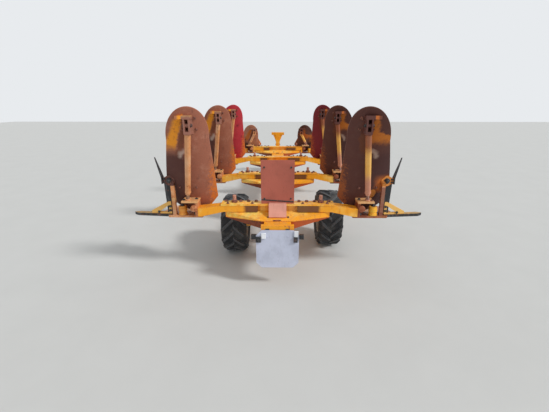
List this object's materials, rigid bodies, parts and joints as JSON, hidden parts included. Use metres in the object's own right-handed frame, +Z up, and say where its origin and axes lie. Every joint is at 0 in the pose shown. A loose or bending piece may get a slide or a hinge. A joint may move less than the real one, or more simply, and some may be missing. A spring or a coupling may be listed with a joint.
{
  "type": "semi-mounted reversible mouldboard plough",
  "caption": "Reversible plough in road position: central beam on two wheels, paired mouldboard bodies out to both sides, turning headstock and parking leg.",
  "frame": {"origin": "on the ground, in the middle of the plough's footprint", "axes": "+Y the way it is towed, +X to its right, +Z up"},
  "size_m": [3.45, 6.651, 1.9727],
  "materials": {
    "orange_paint": "worn orange paint with rust at edges",
    "weathered_orange": "orange paint mostly worn to pinkish rust",
    "rust_plate": "matte brown rust",
    "red_plate": "dull red paint",
    "brown_paint": "matte red-brown paint",
    "dark_steel": "soil-polished dark steel",
    "tyre": "dusty black rubber",
    "rim_paint": "dull pale grey paint",
    "white_plate": "plain white paint"
  },
  "bodies": {
    "frame": {"beam": "orange_paint", "end_box": "orange_paint", "carriage": "orange_paint", "stand_bracket": "orange_paint", "marker_plate": "white_plate", "marker_bar": "dark_steel", "rear_board": "brown_paint", "foot_strip": "brown_paint", "mouldboard_left_1": "rust_plate", "mouldboard_right_1": "rust_plate", "head_plate_1": "orange_paint", "legs_1": "orange_paint", "shares_1": "dark_steel", "frogs_1": "weathered_orange", "stays_1": "weathered_orange", "mouldboard_left_2": "rust_plate", "mouldboard_right_2": "rust_plate", "head_plate_2": "orange_paint", "legs_2": "orange_paint", "shares_2": "dark_steel", "frogs_2": "weathered_orange", "stays_2": "weathered_orange", "mouldboard_left_3": "red_plate", "mouldboard_right_3": "red_plate", "head_plate_3": "orange_paint", "legs_3": "orange_paint", "shares_3": "dark_steel", "frogs_3": "weathered_orange", "stays_3": "weathered_orange", "mouldboard_left_4": "rust_plate", "mouldboard_right_4": "rust_plate", "head_plate_4": "orange_paint", "legs_4": "orange_paint", "shares_4": "dark_steel", "frogs_4": "weathered_orange", "stays_4": "weathered_orange"},
    "wheel_left": {"tyre_left": "tyre", "rim_left": "rim_paint"},
    "wheel_right": {"tyre_right": "tyre", "rim_right": "rim_paint"},
    "headstock": {"headstock_hub": "orange_paint", "mast": "orange_paint"},
    "cross_shaft": {"cross_shaft": "dark_steel"},
    "stand": {"stand_leg": "orange_paint"}
  },
  "joints": [
    {"name": "wheel_left_spin", "type": "hinge", "parent": "frame", "child": "wheel_left", "pos_m": [-0.57983, -2.24986, 0.4], "axis": [1, 0, 0], "continuous": true},
    {"name": "wheel_right_spin", "type": "hinge", "parent": "frame", "child": "wheel_right", "pos_m": [0.73982, -2.02902, 0.4], "axis": [1, 0, 0], "continuous": true},
    {"name": "turnover", "type": "hinge", "parent": "frame", "child": "headstock", "pos_m": [0, 2.81056, 0.62], "axis": [0, 1, 0], "range_deg": [-90, 90]},
    {"name": "drawbar_swing", "type": "hinge", "parent": "headstock", "child": "cross_shaft", "pos_m": [0, 3.25056, 0.62], "axis": [0, 0, 1], "range_deg": [-45, 45]},
    {"name": "stand_fold", "type": "hinge", "parent": "frame", "child": "stand", "pos_m": [-0.2, 1.63056, 0.62], "axis": [-1, 0, 0], "range_deg": [0, 90]}
  ]
}
